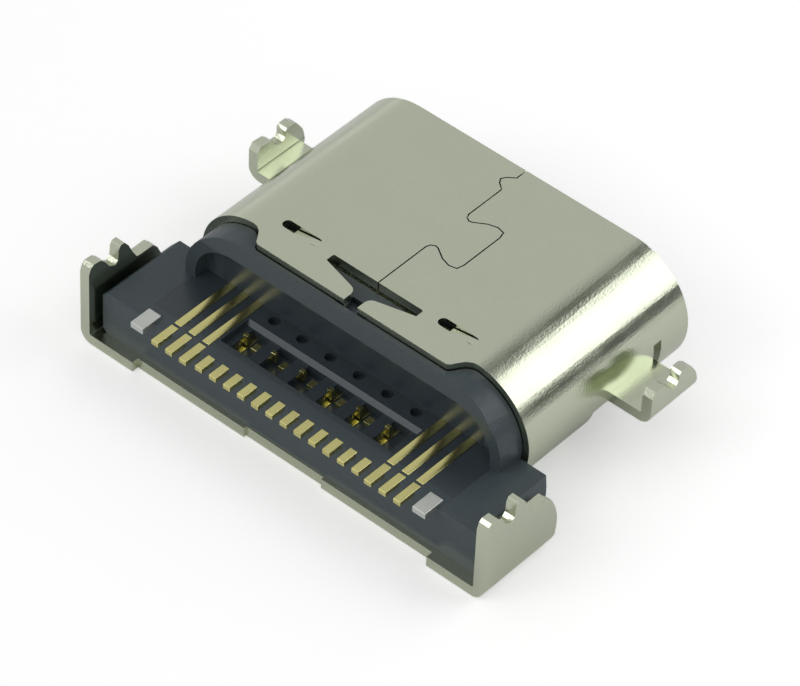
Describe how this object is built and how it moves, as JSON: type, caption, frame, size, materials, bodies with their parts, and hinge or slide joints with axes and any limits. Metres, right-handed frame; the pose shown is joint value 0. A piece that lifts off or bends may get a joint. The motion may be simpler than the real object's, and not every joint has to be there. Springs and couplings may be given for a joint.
{
  "type": "usb-c socket",
  "caption": "Mid-mount USB-C receptacle: folded metal shell with board prongs, moulded insulator, tongue with gold contacts, mid plate and solder tails.",
  "frame": {"origin": "on the flat underside at mid width, below the rear edge of the tube", "axes": "+Y towards the mouth that takes the plug, +Z from the flat underside through the board (the socket hangs below the board's upper face), +X across the mouth"},
  "size_m": [0.011, 0.0077, 0.0031],
  "materials": {
    "shell_metal": "nickel-plated sheet, satin bright, warm greenish grey",
    "body_plastic": "dark blue-grey moulded plastic, satin",
    "carrier_plastic": "dark blue-grey moulded plastic, slightly glossier than the housing",
    "contact_gold": "gold-plated copper alloy, bright",
    "plate_steel": "tin-plated steel, pale"
  },
  "bodies": {
    "root": {"shell": "shell_metal", "housing": "body_plastic", "contact_carrier": "carrier_plastic", "mid_plate": "plate_steel", "upper_ground_pad": "plate_steel", "lower_ground_pad": "plate_steel", "upper_contact_1": "contact_gold", "upper_contact_2": "contact_gold", "upper_contact_3": "contact_gold", "upper_contact_4": "contact_gold", "upper_contact_5": "contact_gold", "upper_contact_6": "contact_gold", "upper_contact_7": "contact_gold", "upper_contact_8": "contact_gold", "upper_contact_9": "contact_gold", "upper_contact_10": "contact_gold", "upper_contact_11": "contact_gold", "upper_contact_12": "contact_gold", "lower_contact_1": "contact_gold", "lower_contact_2": "contact_gold", "lower_contact_3": "contact_gold", "lower_contact_4": "contact_gold", "lower_contact_5": "contact_gold", "lower_contact_6": "contact_gold", "lower_contact_7": "contact_gold", "lower_contact_8": "contact_gold", "lower_contact_9": "contact_gold", "lower_contact_10": "contact_gold", "lower_contact_11": "contact_gold", "lower_contact_12": "contact_gold"}
  },
  "joints": []
}
